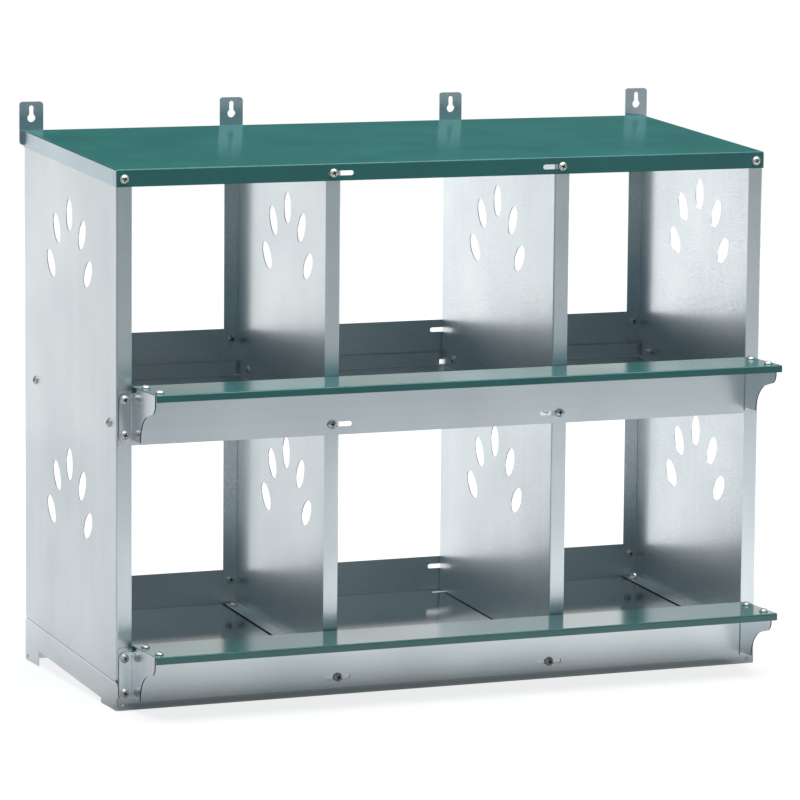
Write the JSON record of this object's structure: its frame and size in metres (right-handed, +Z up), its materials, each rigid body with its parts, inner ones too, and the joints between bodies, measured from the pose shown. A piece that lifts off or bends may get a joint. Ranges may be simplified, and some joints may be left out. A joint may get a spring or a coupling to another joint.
{
  "type": "chicken nesting box",
  "caption": "Galvanised sheet-metal nesting box for hens: open nests in two rows, vented walls, sloped nest floors, green roof and perches, keyhole tabs for hanging.",
  "frame": {"origin": "on the ground under the middle of the bounding box", "axes": "+X along the perches to the hen's right as she faces in, +Y from the perches to the open back, +Z up"},
  "size_m": [0.943, 0.488, 0.7671],
  "materials": {
    "galvanised_sheet": "hot-dip galvanised, satin",
    "green_paint": "gloss",
    "zinc_plated_fasteners": "bright zinc plate"
  },
  "bodies": {
    "root": {"base_pan": "galvanised_sheet", "corner_angle_front_left": "galvanised_sheet", "corner_angle_rear_left": "galvanised_sheet", "corner_angle_front_right": "galvanised_sheet", "corner_angle_rear_right": "galvanised_sheet", "base_rivets": "zinc_plated_fasteners", "left_side_panel": "galvanised_sheet", "left_divider": "galvanised_sheet", "right_divider": "galvanised_sheet", "right_side_panel": "galvanised_sheet", "left_nest_tray": "galvanised_sheet", "middle_nest_tray": "galvanised_sheet", "right_nest_tray": "galvanised_sheet", "lower_front_board": "galvanised_sheet", "lower_rear_rail": "galvanised_sheet", "lower_left_bracket": "galvanised_sheet", "lower_right_bracket": "galvanised_sheet", "lower_perch": "green_paint", "upper_front_board": "galvanised_sheet", "upper_rear_rail": "galvanised_sheet", "upper_left_bracket": "galvanised_sheet", "upper_right_bracket": "galvanised_sheet", "upper_perch": "green_paint", "roof": "green_paint", "hanging_tab_1": "galvanised_sheet", "hanging_tab_2": "galvanised_sheet", "hanging_tab_3": "galvanised_sheet", "hanging_tab_4": "galvanised_sheet", "roof_front_screws": "zinc_plated_fasteners", "roof_front_nuts": "zinc_plated_fasteners", "roof_rear_screws": "zinc_plated_fasteners", "roof_rear_nuts": "zinc_plated_fasteners", "bracket_screws": "zinc_plated_fasteners", "bracket_nuts": "zinc_plated_fasteners", "front_board_screws": "zinc_plated_fasteners", "front_board_nuts": "zinc_plated_fasteners", "rear_rail_screws": "zinc_plated_fasteners", "rear_rail_nuts": "zinc_plated_fasteners", "perch_screws": "zinc_plated_fasteners", "perch_nuts": "zinc_plated_fasteners", "tray_screws": "zinc_plated_fasteners", "tray_nuts": "zinc_plated_fasteners", "floor_screws": "zinc_plated_fasteners", "floor_nuts": "zinc_plated_fasteners"}
  },
  "joints": []
}
